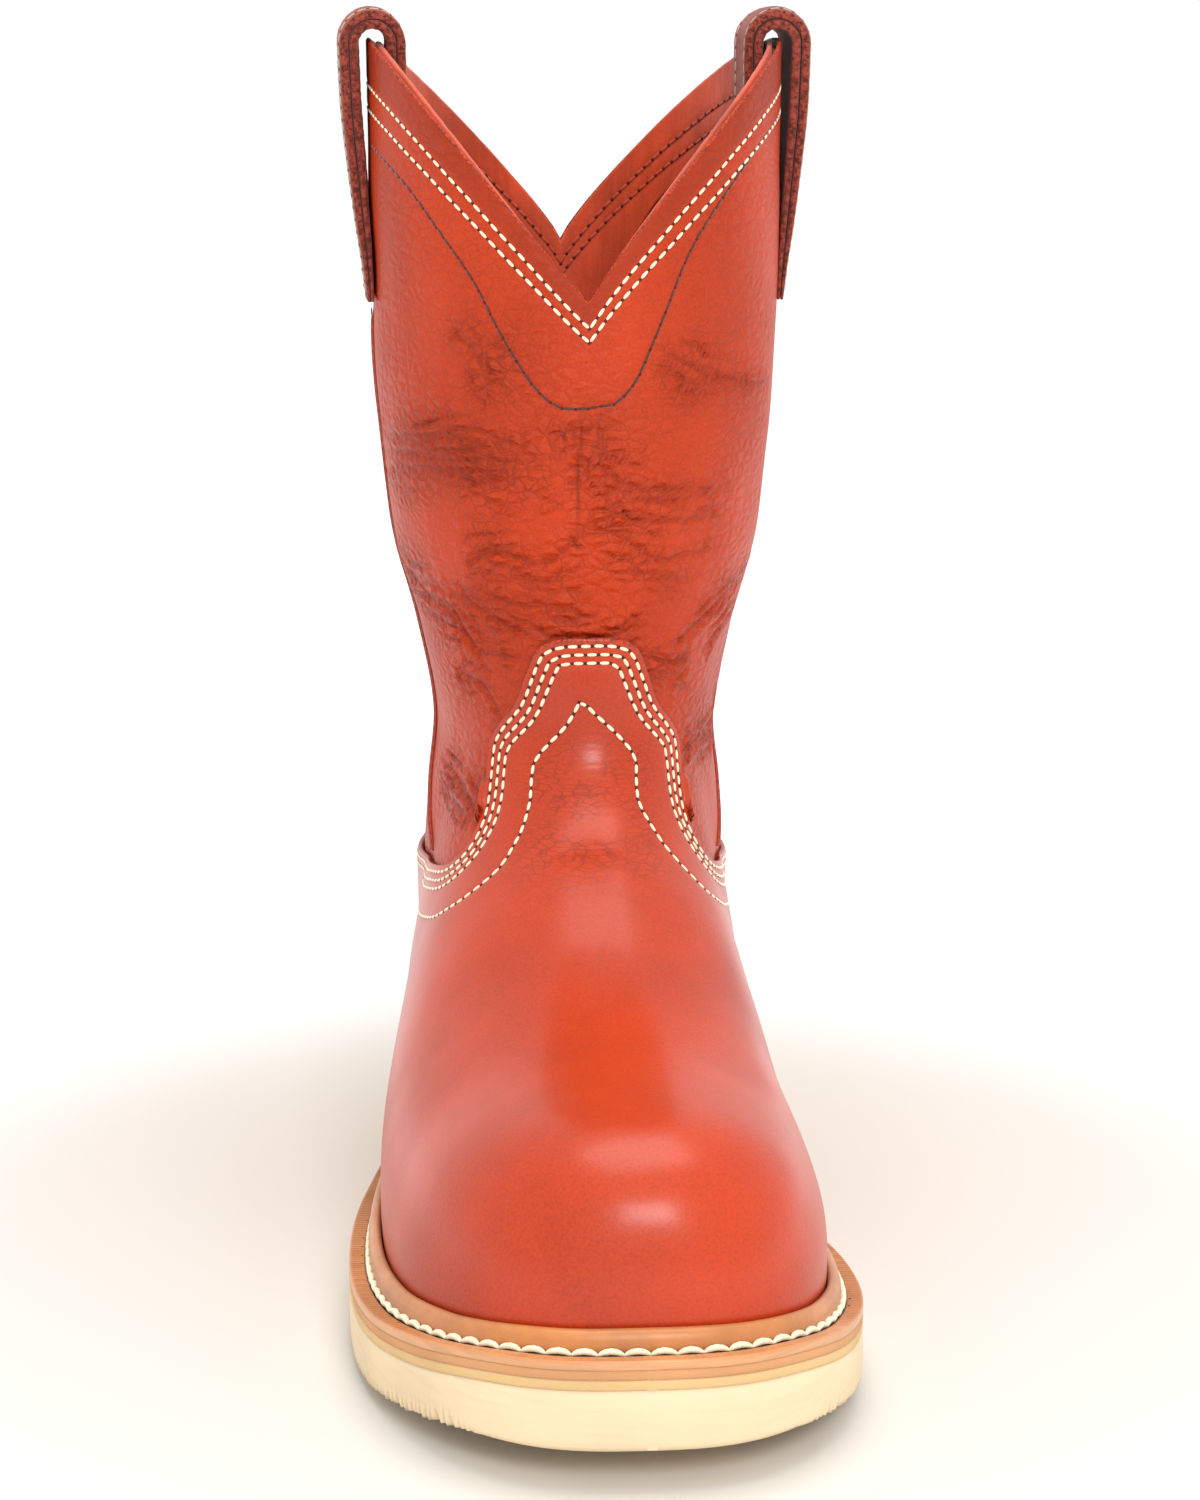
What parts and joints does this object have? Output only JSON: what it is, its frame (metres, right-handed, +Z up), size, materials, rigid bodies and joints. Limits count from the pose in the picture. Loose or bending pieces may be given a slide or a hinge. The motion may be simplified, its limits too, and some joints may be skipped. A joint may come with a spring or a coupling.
{
  "type": "work boot",
  "caption": "Pull-on leather work boot with a V-cut shaft, tongue-shaped vamp, pull straps, stitched storm welt and wedge sole.",
  "frame": {"origin": "on the floor, under the middle of the boot's bounding box", "axes": "+Z up out of the floor, -Y towards the toe, +X towards the inner, big toe side of this right boot"},
  "size_m": [0.1226, 0.304, 0.3111],
  "materials": {
    "crepe": "matt cream wedge sole rubber",
    "thin_layer": "matt yellowish thin layer",
    "welt_leather": "smooth tan leather with wheeled edge",
    "insole_leather": "plain tan leather",
    "leather": "oiled rust orange full-grain leather, pebbled on the shaft",
    "strap_leather": "two-layer leather with raw edges",
    "lining": "soft red lining leather"
  },
  "bodies": {
    "root": {"outsole": "crepe", "slip_sole": "thin_layer", "midsole": "welt_leather", "welt": "welt_leather", "insole": "insole_leather", "upper": "leather", "vamp": "leather", "counter": "leather", "collar_facing": "lining", "side_seam_medial": "leather", "side_seam_lateral": "leather", "pull_strap_medial": "strap_leather", "pull_strap_lateral": "strap_leather"}
  },
  "joints": []
}
